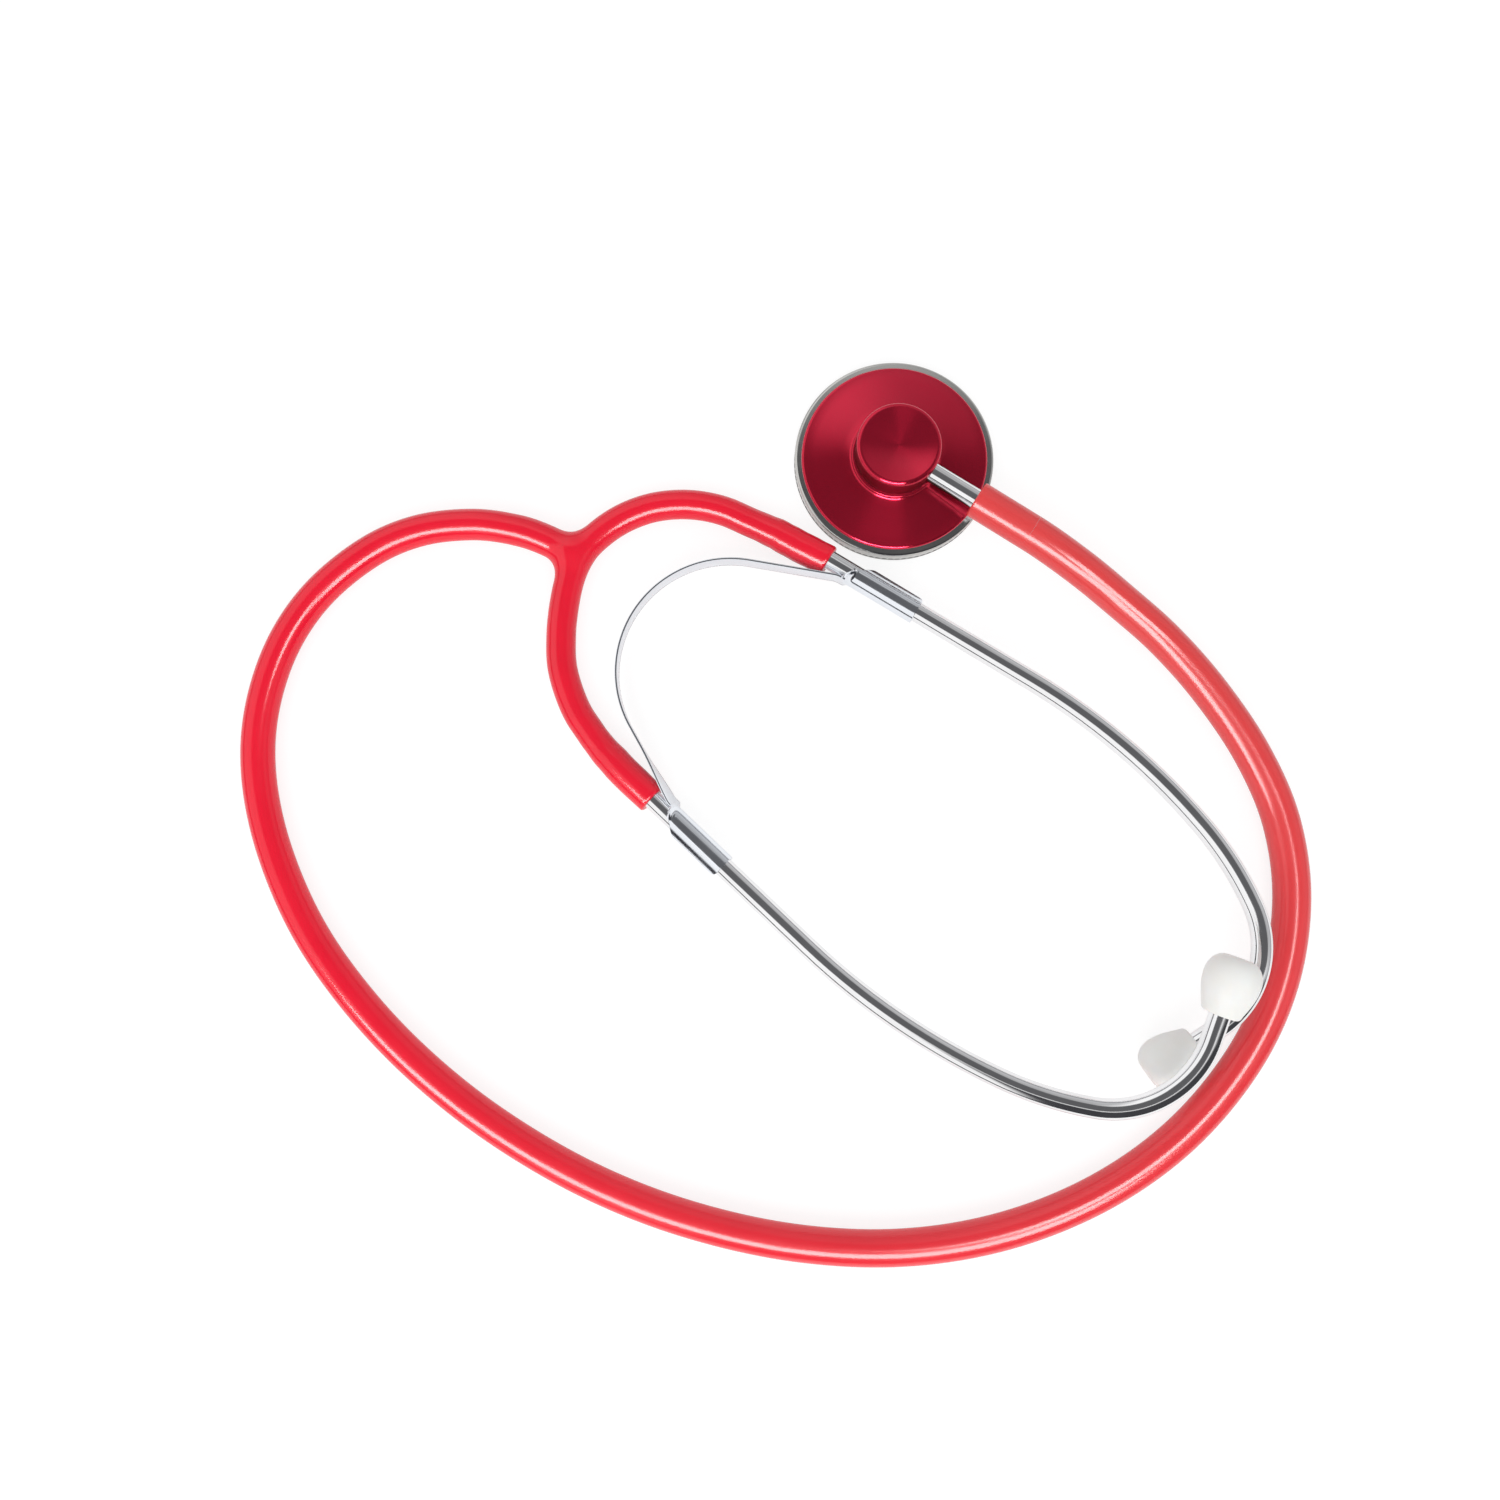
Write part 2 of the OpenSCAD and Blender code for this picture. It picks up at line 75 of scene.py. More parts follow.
def only(piece):
    """Selects one piece and makes it the active one."""
    bpy.ops.object.select_all(action="DESELECT")
    piece.select_set(True)
    bpy.context.view_layer.objects.active = piece


def scaled(points):
    """Millimetres to metres."""
    return [Vector(p) * MM for p in points]


def finish_with(piece, kind, **settings):
    """Adds a modifier to a piece and applies it."""
    only(piece)
    step = piece.modifiers.new(kind.lower(), kind)
    for name, value in settings.items():
        setattr(step, name, value)
    bpy.ops.object.modifier_apply(modifier=step.name)


def smooth_edges(piece, angle=35):
    """Smooth shading with the sharp edges kept."""
    only(piece)
    bpy.ops.object.shade_smooth_by_angle(angle=math.radians(angle))
    return piece


def close_up(piece, gap=0.001):
    """Merges doubles and turns all faces outwards."""
    only(piece)
    bpy.ops.object.mode_set(mode="EDIT")
    bpy.ops.mesh.select_all(action="SELECT")
    bpy.ops.mesh.remove_doubles(threshold=gap * MM)
    bpy.ops.mesh.normals_make_consistent(inside=False)
    bpy.ops.object.mode_set(mode="OBJECT")
    return piece


def place(piece, where):
    """Puts a piece where a matrix in metres says, with its place in its mesh."""
    only(piece)
    piece.matrix_world = where
    bpy.ops.object.transform_apply(location=True, rotation=True, scale=True)


def eased(points, steps, before, after):
    """Points of a smooth curve through a route. The points before and after it set its end directions."""
    knots = [Vector(before)] + [Vector(p) for p in points] + [Vector(after)]
    curve = []
    for i in range(1, len(knots) - 2):
        a, b, c, d = knots[i - 1:i + 3]
        for k in range(steps):
            t = k / steps
            curve.append((2 * b + (c - a) * t + (2 * a - 5 * b + 4 * c - d) * t ** 2
                          + (3 * b - a - 3 * c + d) * t ** 3) / 2)
    curve.append(knots[-2])
    return curve


def drawn_tube(name, points, radii, roundness=14):
    """Round tube drawn along a line of points, closed at both ends."""
    line = bpy.data.curves.new(name, "CURVE")
    line.dimensions = "3D"
    line.twist_mode = "Z_UP"
    line.bevel_depth = MM
    line.bevel_resolution = roundness
    line.use_fill_caps = True
    run = line.splines.new("POLY")
    run.points.add(len(points) - 1)
    for knot, at, radius in zip(run.points, scaled(points), radii):
        knot.co = (*at, 1)
        knot.radius = radius
    tube = bpy.data.objects.new(name, line)
    bpy.context.collection.objects.link(tube)
    only(tube)
    bpy.ops.object.convert(target="MESH")
    return smooth_edges(close_up(bpy.context.object))


def turned(name, outline, sides):
    """Piece turned on the lathe about Z from an outline of (radius, height)."""
    bar = bpy.data.meshes.new(name)
    points = scaled([(r, 0, z) for r, z in outline])
    bar.from_pydata(points, [(i, i + 1) for i in range(len(points) - 1)], [])
    piece = bpy.data.objects.new(name, bar)
    bpy.context.collection.objects.link(piece)
    only(piece)
    bpy.ops.object.mode_set(mode="EDIT")
    bpy.ops.mesh.select_all(action="SELECT")
    bpy.ops.mesh.spin(steps=sides, angle=math.tau, center=(0, 0, 0), axis=(0, 0, 1))
    bpy.ops.object.mode_set(mode="OBJECT")
    return smooth_edges(close_up(piece))


def rounded(centre, radius, start, end, steps=8):
    """Points of a rounded edge in an outline."""
    turns = [math.radians(start + (end - start) * i / steps) for i in range(steps + 1)]
    return [(centre[0] + radius * math.cos(a), centre[1] + radius * math.sin(a)) for a in turns]


# Where the pieces lie

STEM_ANGLE = -32.5
STEM = heading(STEM_ANGLE)
STEM_TURN = math.radians(STEM_ANGLE)
STEM_Z = 9.6
HOSE_START = 20.3
HOSE_END_LEN = 14
HOSE_AT = STEM * (HOSE_START + HOSE_END_LEN) + Vector((0, 0, STEM_Z))
CLIP_Z = 5.4
LAY_ALONG = 14.7
LAY_BESIDE = 27.5
LEFT_TURN = -32.2
LEFT_RISE = 3.2
RIGHT_TURN = -43.4
RIGHT_RISE = 4.5
LEFT_CLIP = STEM * LAY_ALONG + heading(STEM_ANGLE - 90) * LAY_BESIDE + Vector((0, 0, CLIP_Z))
LEFT_AXIS = heading(LEFT_TURN, LEFT_RISE)
RIGHT_AXIS = heading(RIGHT_TURN, RIGHT_RISE)
RIGHT_SLIDE = 4.3
RIGHT_CLIP = Vector((-47.1, -83, CLIP_Z)) + RIGHT_AXIS * RIGHT_SLIDE
# Each side's clip: its place and angles, the gap to its arm, how far the ear tube has slid back in it,
# and the length and lean of the tongue that the strip becomes
LEFT = {"at": LEFT_CLIP, "turn": LEFT_TURN, "rise": LEFT_RISE, "lean": 5, "gap": 14.5, "slide": 0,
        "tongue": 10, "strip_lean": 0, "side": -1}
RIGHT = {"at": RIGHT_CLIP, "turn": RIGHT_TURN, "rise": RIGHT_RISE, "lean": 8, "gap": 13.4,
         "slide": RIGHT_SLIDE, "tongue": 9.5, "strip_lean": 16, "side": 1}


def ear_frame(tube, lean):
    """Frame at the middle of a clip, in metres: X along the ear tube, Y towards the other one."""
    turn = (Matrix.Rotation(math.radians(tube["turn"]), 4, "Z")
            @ Matrix.Rotation(math.radians(-tube["rise"]), 4, "Y")
            @ Matrix.Rotation(math.radians(lean), 4, "X"))
    return Matrix.Translation(tube["at"] * MM) @ turn @ Matrix.Diagonal((1, tube["side"], 1, 1))


# Main tube: one free hose from the yoke to the chestpiece

HOSE_ROUTE = [
    (-71, -22.5, 3.5), (-77.5, -18.8, 3.5), (-85, -16.2, 3.5), (-95, -15, 3.6), (-107, -16.5, 3.6),
    (-118, -21.5, 3.6), (-129, -31, 3.6), (-136.5, -43, 3.7), (-140.5, -57.5, 3.7),
    (-140.5, -72, 3.7), (-136.5, -88, 3.7), (-128.5, -105, 3.7), (-117, -120.5, 3.8),
    (-103, -134.5, 3.8), (-86.5, -147, 3.8), (-67, -158, 3.8), (-46, -166, 3.9), (-23, -171, 3.9),
    (0, -172, 3.9), (22, -168.5, 3.9), (42.5, -160.5, 3.9), (60, -148.5, 4), (73.8, -132.9, 4),
    (82.2, -116.3, 4), (85.6, -98.5, 4), (84, -81.6, 4), (78.1, -66.6, 4.1), (69.3, -52.8, 4.2),
    (59.5, -41.5, 4.8), (49.2, -32.8, 6.4), (39.6, -25.7, 8.6), tuple(HOSE_AT)
]
HOSE_STEPS = 10
HOSE_FROM = 2
HOSE_R_YOKE = 3.45
HOSE_R_CHEST = 4.05
HOSE_LEAD = 26
hose_line = eased(HOSE_ROUTE, HOSE_STEPS, HOSE_ROUTE[0], Vector(HOSE_ROUTE[-2]) - STEM * HOSE_LEAD)
hose_radii = [HOSE_R_YOKE + (HOSE_R_CHEST - HOSE_R_YOKE) * i / (len(hose_line) - 1)
              for i in range(len(hose_line))]
hose_starts = HOSE_FROM * HOSE_STEPS
free_line = hose_line[hose_starts:]
free_radii = hose_radii[hose_starts:]
hose = drawn_tube("main_hose", free_line, free_radii)

# How far along the hose each point is, for the colour that fades towards the chestpiece
spots = np.array([v.co / MM for v in hose.data.vertices])
nearest = np.linalg.norm(spots[:, None] - np.array(free_line), axis=2).argmin(1)
along = hose.data.attributes.new("along", "FLOAT", "POINT")
for i, spot in enumerate(along.data):
    spot.value = nearest[i] / (len(free_line) - 1)

# Straight end of the hose that grips the stem
HOSE_BORE_R = 2.25
BORE_LIP = 0.5
END_ROUND = 0.45
HOSE_END_SIDES = 64
hose_end = turned("hose_end", [(HOSE_BORE_R, HOSE_END_LEN), (HOSE_BORE_R, BORE_LIP)]
                  + rounded((HOSE_BORE_R + END_ROUND, END_ROUND), END_ROUND, 180, 270, 5)
                  + rounded((HOSE_R_CHEST - END_ROUND, END_ROUND), END_ROUND, -90, 0)
                  + [(HOSE_R_CHEST, HOSE_END_LEN), (HOSE_BORE_R, HOSE_END_LEN)], HOSE_END_SIDES)
on_stem = (Matrix.Translation((0, 0, STEM_Z * MM)) @ Matrix.Rotation(STEM_TURN, 4, "Z")
           @ Matrix.Rotation(math.radians(90), 4, "Y"))
place(hose_end, on_stem @ Matrix.Translation((0, 0, HOSE_START * MM)))
end_along = hose_end.data.attributes.new("along", "FLOAT", "POINT")
for spot in end_along.data:
    spot.value = 1


# Y tubing: two arms and the branch to the hose, moulded in one

ARM_R = 3.3
CUFF_R = 3.5
LEFT_CUFF = 9
RIGHT_CUFF = 14.4
CUFF_LAP = 0.4
# Distance from the open end, and the radius there
CUFF_SWELL = [(END_ROUND, CUFF_R), (6, 3.6), (11, 3.58), (19, ARM_R)]
ARM_STEPS = 10
LEFT_LEAD = 17
RIGHT_LEAD = 10
left_end = LEFT_CLIP - LEFT_AXIS * LEFT["gap"]
right_end = RIGHT_CLIP - RIGHT_AXIS * RIGHT["gap"]
ARM_ROUTE = [
    left_end - LEFT_AXIS * (LEFT_CUFF - CUFF_LAP), LEFT_CLIP + Vector((-28.6, 15.9, -1.8)),
    LEFT_CLIP + Vector((-36.1, 19.3, -2)), LEFT_CLIP + Vector((-43.6, 20.7, -2)),
    (-53.5, -10.9, 3.4), (-60, -13.1, 3.4), (-65.5, -16.6, 3.4), (-70, -21.2, 3.4),
    (-72.6, -27, 3.4), (-74, -34, 3.4), (-74.5, -41, 3.4), (-74, -48, 3.4), (-71.3, -56, 3.4),
    (-67, -63.4, 3.5), right_end - RIGHT_AXIS * (RIGHT_CUFF - CUFF_LAP)
]
YOKE_MIDDLE = Vector((-70, -21.2, 3.4))
bend_line = eased(ARM_ROUTE, ARM_STEPS, Vector(ARM_ROUTE[1]) + LEFT_AXIS * LEFT_LEAD,
                  Vector(ARM_ROUTE[-2]) + RIGHT_AXIS * RIGHT_LEAD)
# Distances from the open ends at which the straight cuffs get a ring
cuff_steps = [0.06, 0.13, 0.22, 0.34, 0.45, 1.5, 3, 4.5, 6, 7.3]
long_steps = cuff_steps + [9, 10.6, 12.3]
arm_line = ([left_end] + [left_end - LEFT_AXIS * s for s in cuff_steps] + bend_line
            + [right_end - RIGHT_AXIS * s for s in reversed(long_steps)] + [right_end])
arm_runs = [0]
for a, b in zip(arm_line, arm_line[1:]):
    arm_runs.append(arm_runs[-1] + (b - a).length)


def graded(at, table):
    """Value at a place along a run, eased between the rows (place, value) of a table."""
    for (a, low), (b, high) in zip(table, table[1:]):
        if at < b:
            share = max(at - a, 0) / (b - a)
            return low + (high - low) * share * share * (3 - 2 * share)
    return table[-1][1]


def cuff_radius(from_end):
    """Radius of an arm at a distance from its open end: it swells over the end of the ear tube."""
    if from_end < END_ROUND:
        inset = END_ROUND - from_end
        return CUFF_R - END_ROUND + math.sqrt(max(END_ROUND ** 2 - inset ** 2, 0))
    return graded(from_end, CUFF_SWELL)


arm_radii = [cuff_radius(min(s, arm_runs[-1] - s)) for s in arm_runs]
# The soft arms sag a little where the ear tubes end inside them
LEFT_SAG = [(0, 0.3), (4, 0.62), (8, 0.9), (10.5, 0.84), (14, 0.3), (18, -0.08), (26, 0)]
RIGHT_SAG = [(0, 0), (9, 0), (13.5, 0.27), (17, 0.42), (20, 0.3), (26, 0)]
LEFT_SAG_WAY = Vector((-0.5, -0.866, 0))
RIGHT_SAG_WAY = Vector((0.75, 0.66, 0))
arm_line = [p + LEFT_SAG_WAY * graded(s, LEFT_SAG)
            + RIGHT_SAG_WAY * graded(arm_runs[-1] - s, RIGHT_SAG)
            for p, s in zip(arm_line, arm_runs)]
arms = drawn_tube("y_tubing", arm_line, arm_radii)
# The branch sinks into the hose behind the place where the hose starts
BRANCH_FROM = 5
BRANCH_PROUD = 0.03
SUNK_STEPS = 6
SINKS_BY = 0.1
branch_to = hose_starts + SUNK_STEPS + 1
branch_line = hose_line[BRANCH_FROM:branch_to]
branch_radii = [r + BRANCH_PROUD - SINKS_BY * max(0, i + BRANCH_FROM - hose_starts) / SUNK_STEPS
                for i, r in enumerate(hose_radii[BRANCH_FROM:branch_to])]
branch = drawn_tube("branch", branch_line, branch_radii)
only(arms)
branch.select_set(True)
bpy.ops.object.join()
tubes = arms.copy()
tubes.data = arms.data.copy()
tubes.name = "tubes_before_moulding"
bpy.context.collection.objects.link(tubes)
SKIN_GRAIN = 0.34
YOKE_REACH = 16
WEB = 4.2
WEB_PASSES = 10
LEAST_WAY = 0.2
TABLE_GAP = 0.02
finish_with(arms, "REMESH", mode="VOXEL", voxel_size=SKIN_GRAIN * MM)
in_yoke = [v.index for v in arms.data.vertices if (v.co / MM - YOKE_MIDDLE).length < YOKE_REACH]
drawn = arms.vertex_groups.new(name="drawn")
drawn.add(range(len(arms.data.vertices)), 1, "REPLACE")
drawn.add(in_yoke, 0, "REPLACE")
finish_with(arms, "SHRINKWRAP", target=tubes, wrap_method="NEAREST_SURFACEPOINT", vertex_group="drawn")


def from_tube(points, line, radii):
    """Distance of points from a tube's skin, and the way out from its middle line."""
    near = [i for i, p in enumerate(line) if (p - YOKE_MIDDLE).length < YOKE_REACH * 2]
    knots = np.array([line[i] for i in near])
    sizes = np.array([radii[i] for i in near])
    stretch = knots[1:] - knots[:-1]
    share = ((points[:, None] - knots[:-1]) * stretch).sum(2) / (stretch ** 2).sum(1)
    share = share.clip(0, 1)
    out = points[:, None] - (knots[:-1] + share[..., None] * stretch)
    far = np.linalg.norm(out, axis=2)
    gap = far - (sizes[:-1] + share * (sizes[1:] - sizes[:-1]))
    best = gap.argmin(1)
    row = np.arange(len(points))
    return gap[row, best], out[row, best] / far[row, best][:, None]


# The three branches flow into each other with webs, as moulded
skin = np.array([arms.data.vertices[i].co / MM for i in in_yoke])
for _ in range(WEB_PASSES):
    to_arm, arm_out = from_tube(skin, arm_line, arm_radii)
    to_branch, branch_out = from_tube(skin, branch_line, branch_radii)
    web = np.maximum(WEB - abs(to_arm - to_branch), 0) / WEB
    gap = np.minimum(to_arm, to_branch) - web ** 2 * WEB / 4
    pull = np.where(to_arm < to_branch, 1 - web / 2, web / 2)[:, None]
    way = pull * arm_out + (1 - pull) * branch_out
    skin -= (gap / (way ** 2).sum(1).clip(LEAST_WAY))[:, None] * way
for i, at in zip(in_yoke, skin):
    arms.data.vertices[i].co = Vector(at) * MM
drawn.add(range(len(arms.data.vertices)), 0, "REPLACE")
drawn.add(in_yoke, 1, "REPLACE")
finish_with(arms, "SMOOTH", factor=0.4, iterations=3, vertex_group="drawn")
# Nothing of the moulding goes below the table
for v in arms.data.vertices:
    v.co.z = max(v.co.z, TABLE_GAP * MM)
bpy.data.objects.remove(tubes)
arms.vertex_groups.clear()
smooth_edges(arms, 50)


# Ear tubes, bent in one plane, and ear tips

EAR_R = 2.2
EAR_STUB = 22
EAR_STRAIGHT = 37
EAR_END = 5.5
TIP_SEAT = 9
SHORT_OF_SEAT = 1
STRAIGHT_STEPS = 12
LEAST_STEPS = 6
STEPS_PER_DEGREE = 0.75
EAR_ROUNDNESS = 18
# Radius and angle of each bend
BENDS = [(145, 19), (71, 16), (21.5, 79)]


def ear_line(tube):
    """Middle line of an ear tube in its own plane, straight at both ends, and the frame of its tip."""
    start = Vector((-EAR_STUB - tube["slide"], 0, 0))
    at = Vector((EAR_STRAIGHT - tube["slide"], 0, 0))
    turn = 0.0
    line = [start + (at - start) * i / STRAIGHT_STEPS for i in range(STRAIGHT_STEPS)]
    for radius, angle in BENDS:
        centre = at + Vector((-math.sin(turn), math.cos(turn), 0)) * radius
        steps = max(LEAST_STEPS, round(angle * STEPS_PER_DEGREE))
        for i in range(steps):
            a = turn + math.radians(angle) * i / steps
            line.append(centre + Vector((math.sin(a), -math.cos(a), 0)) * radius)
        turn += math.radians(angle)
        at = centre + Vector((math.sin(turn), -math.cos(turn), 0)) * radius
    onward = Vector((math.cos(turn), math.sin(turn), 0))
    line += [at, at + onward * EAR_END, at + onward * (EAR_END + TIP_SEAT - SHORT_OF_SEAT)]
    tip = (Matrix.Translation((at + onward * EAR_END) * MM) @ Matrix.Rotation(turn, 4, "Z")
           @ Matrix.Rotation(math.radians(90), 4, "Y"))
    return line, tip


def ear_tube(name, tube):
    """Bent ear tube in its place, and where its tip sits."""
    line, tip = ear_line(tube)
    piece = drawn_tube(name, line, [EAR_R] * len(line), EAR_ROUNDNESS)
    where = ear_frame(tube, tube["lean"])
    place(piece, where)
    return close_up(piece), where @ tip


TIP_LEN = 12.2
TIP_R = 5.7
TIP_BELLY = 7.7
TIP_SOCKET_R = 2.22
TIP_NECK_R = 4.05
TIP_BASE_ROUND = 1
TIP_DOME = 3.25
TIP_FLAT_R = 2.05
TIP_HOLE_R = 1.05
TIP_HOLE_ROUND = 0.55
SWELL_STEPS = 16
DOME_STEPS = 20
TIP_SIDES = 96


def quarter(i, steps):
    """Angle of a step in a quarter turn."""
    return math.pi / 2 * i / steps


TIP_OUTLINE = (
    [(TIP_SOCKET_R, TIP_SEAT), (TIP_SOCKET_R, 0.25), (2.45, 0)]
    + rounded((TIP_NECK_R - TIP_BASE_ROUND, TIP_BASE_ROUND), TIP_BASE_ROUND, -90, -12, 7)
    + [(TIP_NECK_R + (TIP_R - TIP_NECK_R) * math.sin(quarter(i, SWELL_STEPS)),
        TIP_BASE_ROUND + (TIP_BELLY - TIP_BASE_ROUND) * i / SWELL_STEPS)
       for i in range(1, SWELL_STEPS + 1)]
    + [(TIP_R - TIP_DOME * (1 - math.cos(quarter(i, DOME_STEPS))),
        TIP_BELLY + (TIP_LEN - TIP_BELLY) * math.sin(quarter(i, DOME_STEPS)))
       for i in range(1, DOME_STEPS + 1)]
    + [(TIP_FLAT_R, TIP_LEN)]
    + rounded((TIP_HOLE_R + TIP_HOLE_ROUND, TIP_LEN - TIP_HOLE_ROUND), TIP_HOLE_ROUND, 90, 175, 5)
    + [(TIP_HOLE_R, TIP_SEAT), (TIP_SOCKET_R, TIP_SEAT)]
)


def ear_tip(name, where):
    """Ear tip, turned and pushed on its tube."""
    piece = turned(name, TIP_OUTLINE, TIP_SIDES)
    place(piece, where)
    return close_up(piece)


left_tube, left_tip_at = ear_tube("left_ear_pipe", LEFT)
right_tube, right_tip_at = ear_tube("right_ear_pipe", RIGHT)
left_tip = ear_tip("left_ear_bud", left_tip_at)
right_tip = ear_tip("right_ear_bud", right_tip_at)


# Leaf spring: a thin strip from clip to clip, with a kink at each end

STRIP_SIDE = 2.6
STRIP_T = 0.5
STRIP_W = 6
STRIP_LOW = 1.8
LOOP_R = 25
KINK_R = 5
LOOP_FROM = 170.2
LOOP_TO = 299.2
STRIP_LAP = 0.8
KINK_STEPS = 10
LOOP_STEPS = 72
RUN_STEPS = 10
STRIP_ROWS = 5
STRIP_ROUND = 0.14
# The strip leans over in its last stretch before the right clip
LEAN_FADES = [(1, 1), (15, 0)]


def turn_by(radius, start, end):
    """How far an arc moves, from one direction to another."""
    a = math.radians(start)
    b = math.radians(end)
    return Vector((math.sin(b) - math.sin(a), math.cos(a) - math.cos(b), 0)) * radius


def across(a, b):
    """Cross product of two directions on the table."""
    return a.x * b.y - a.y * b.x


def strip_line():
    """Middle line of the strip on the table, from the left clip to the right one."""
    kink_from = LEFT["turn"] + 180
    kink_to = RIGHT["turn"] + 360
    out = heading(LOOP_FROM)
    back = heading(LOOP_TO)
    start = (LEFT_CLIP - heading(LEFT["turn"]) * LEFT["tongue"]
             + heading(LEFT["turn"] - 90) * STRIP_SIDE)
    end = (RIGHT_CLIP - heading(RIGHT["turn"]) * RIGHT["tongue"]
           + heading(RIGHT["turn"] + 90) * STRIP_SIDE)
    first_kink = turn_by(KINK_R, kink_from, LOOP_FROM)
    loop = turn_by(LOOP_R, LOOP_FROM, LOOP_TO)
    left = end - start - first_kink - loop - turn_by(KINK_R, LOOP_TO, kink_to)
    loop_at = start + first_kink + out * (across(left, back) / across(out, back))
    last_at = loop_at + loop + back * (across(out, left) / across(out, back))
    line = [start + heading(LEFT["turn"]) * STRIP_LAP, start + heading(LEFT["turn"]) * (STRIP_LAP / 2)]
    for at, radius, a, b, steps in ((start, KINK_R, kink_from, LOOP_FROM, KINK_STEPS),
                                    (loop_at, LOOP_R, LOOP_FROM, LOOP_TO, LOOP_STEPS),
                                    (last_at, KINK_R, LOOP_TO, kink_to, KINK_STEPS)):
        line += [at + turn_by(radius, a, a + (b - a) * i / steps) for i in range(steps + 1)]
        if radius == LOOP_R or at == start:
            far = loop_at if at == start else last_at
            here = line[-1]
            line += [here + (far - here) * i / RUN_STEPS for i in range(1, RUN_STEPS)]
    onward = heading(RIGHT["turn"])
    return line + [end + onward * (STRIP_LAP / 2), end + onward * STRIP_LAP]


line = strip_line()
sheet = bpy.data.meshes.new("spring_strip")
over = heading(RIGHT["turn"] - 90)
grid = []
for i, p in enumerate(line):
    left = (line[-1] - p).length
    lean = math.tan(math.radians(RIGHT["strip_lean"])) * graded(left, LEAN_FADES)
    for k in range(STRIP_ROWS):
        up = STRIP_W * (k / (STRIP_ROWS - 1) - 0.5)
        spot = p + over * (up * lean if i > len(line) // 2 else 0)
        grid.append(Vector((spot.x, spot.y, STRIP_LOW + STRIP_W / 2 + up)) * MM)
corners = [i * STRIP_ROWS + k for i in range(len(line) - 1) for k in range(STRIP_ROWS - 1)]
sheet.from_pydata(grid, [], [(c, c + STRIP_ROWS, c + STRIP_ROWS + 1, c + 1) for c in corners])
strip = bpy.data.objects.new("spring_strip", sheet)
bpy.context.collection.objects.link(strip)
finish_with(strip, "SOLIDIFY", thickness=STRIP_T * MM, offset=0)
close_up(strip, 0.0001)
finish_with(strip, "BEVEL", width=STRIP_ROUND * MM, segments=2, limit_method="ANGLE",
            angle_limit=math.radians(50))
smooth_edges(strip, 40)


# Rolled clips: the strip's end widens and rolls up round the ear tube, and its edge stands off as a flap

CLIP_END = 8
CLIP_MID_R = 2.58
CLIP_SHEET = 0.52
UNDER_EDGE = CLIP_MID_R * math.radians(-142)
CREASE = math.radians(105)
FLAP_TILT = math.radians(31)
FLAP_BEND = math.radians(6)
FLAP_FROM = CLIP_MID_R * CREASE
FLAP_W = 2.7
FLAP_EDGE = FLAP_FROM + FLAP_W
# The flap starts part way along the clip
FLAP_GROWS = [(-7.9, 0), (-4.3, 1)]
ROLLED_AT = -5.2
HUG_LEN = 2.6
LEAST_BEND = 0.001
CORNER = 1.2
CLIP_ROUND = 0.12


def rolled_clip(name, tube):
    """Sheet that starts flat at the strip's end, widens and rolls up round the ear tube."""
    bpy.ops.mesh.primitive_grid_add(x_subdivisions=72, y_subdivisions=64, size=2)
    piece = bpy.context.object
    piece.name = name
    length = CLIP_END + tube["tongue"]
    axis_z = tube["at"].z - tube["tongue"] * math.sin(math.radians(tube["rise"]))
    for v in piece.data.vertices:
        u = CLIP_END - (1 - v.co.x) / 2 * length
        share = min((u + tube["tongue"]) / (ROLLED_AT + tube["tongue"]), 1)
        narrow = 1 - math.sin(share * math.pi / 2)
        hug = min((u + tube["tongue"]) / HUG_LEN, 1)
        bend = hug * hug * (3 - 2 * hug) / CLIP_MID_R + LEAST_BEND
        lean = math.radians(tube["strip_lean"]) * (1 - hug)
        top_edge = FLAP_EDGE + (STRIP_LOW + STRIP_W - axis_z - FLAP_EDGE) * narrow
        top_edge = min(top_edge, FLAP_FROM + FLAP_W * graded(u, FLAP_GROWS))
        low_edge = UNDER_EDGE + (STRIP_LOW - axis_z - UNDER_EDGE) * narrow
        if CLIP_END - u < CORNER:
            top_edge -= CORNER - math.sqrt(max(CORNER ** 2 - (CORNER - CLIP_END + u) ** 2, 0))
        w = low_edge + (top_edge - low_edge) * (v.co.y + 1) / 2
        y = CLIP_MID_R - (math.cos(lean) - math.cos(lean + bend * w)) / bend
        z = (math.sin(lean + bend * w) - math.sin(lean)) / bend
        if w > FLAP_FROM:
            tilt = FLAP_TILT + FLAP_BEND * (w - FLAP_FROM)
            y = CLIP_MID_R * math.cos(CREASE) - (math.sin(tilt) - math.sin(FLAP_TILT)) / FLAP_BEND
            z = CLIP_MID_R * math.sin(CREASE) - (math.cos(FLAP_TILT) - math.cos(tilt)) / FLAP_BEND
        v.co = Vector((u, y, z)) * MM
    close_up(piece)
    finish_with(piece, "SOLIDIFY", thickness=CLIP_SHEET * MM, offset=0)
    finish_with(piece, "BEVEL", width=CLIP_ROUND * MM, segments=2, limit_method="ANGLE",
                angle_limit=math.radians(60))
    place(piece, ear_frame(tube, lean=0))
    return smooth_edges(close_up(piece, 0.0001), 40)


left_clip = rolled_clip("left_rolled_clip", LEFT)
right_clip = rolled_clip("right_rolled_clip", RIGHT)


# Chestpiece head: turned cone with a hub, a bead at its foot and a bright chamfered rim

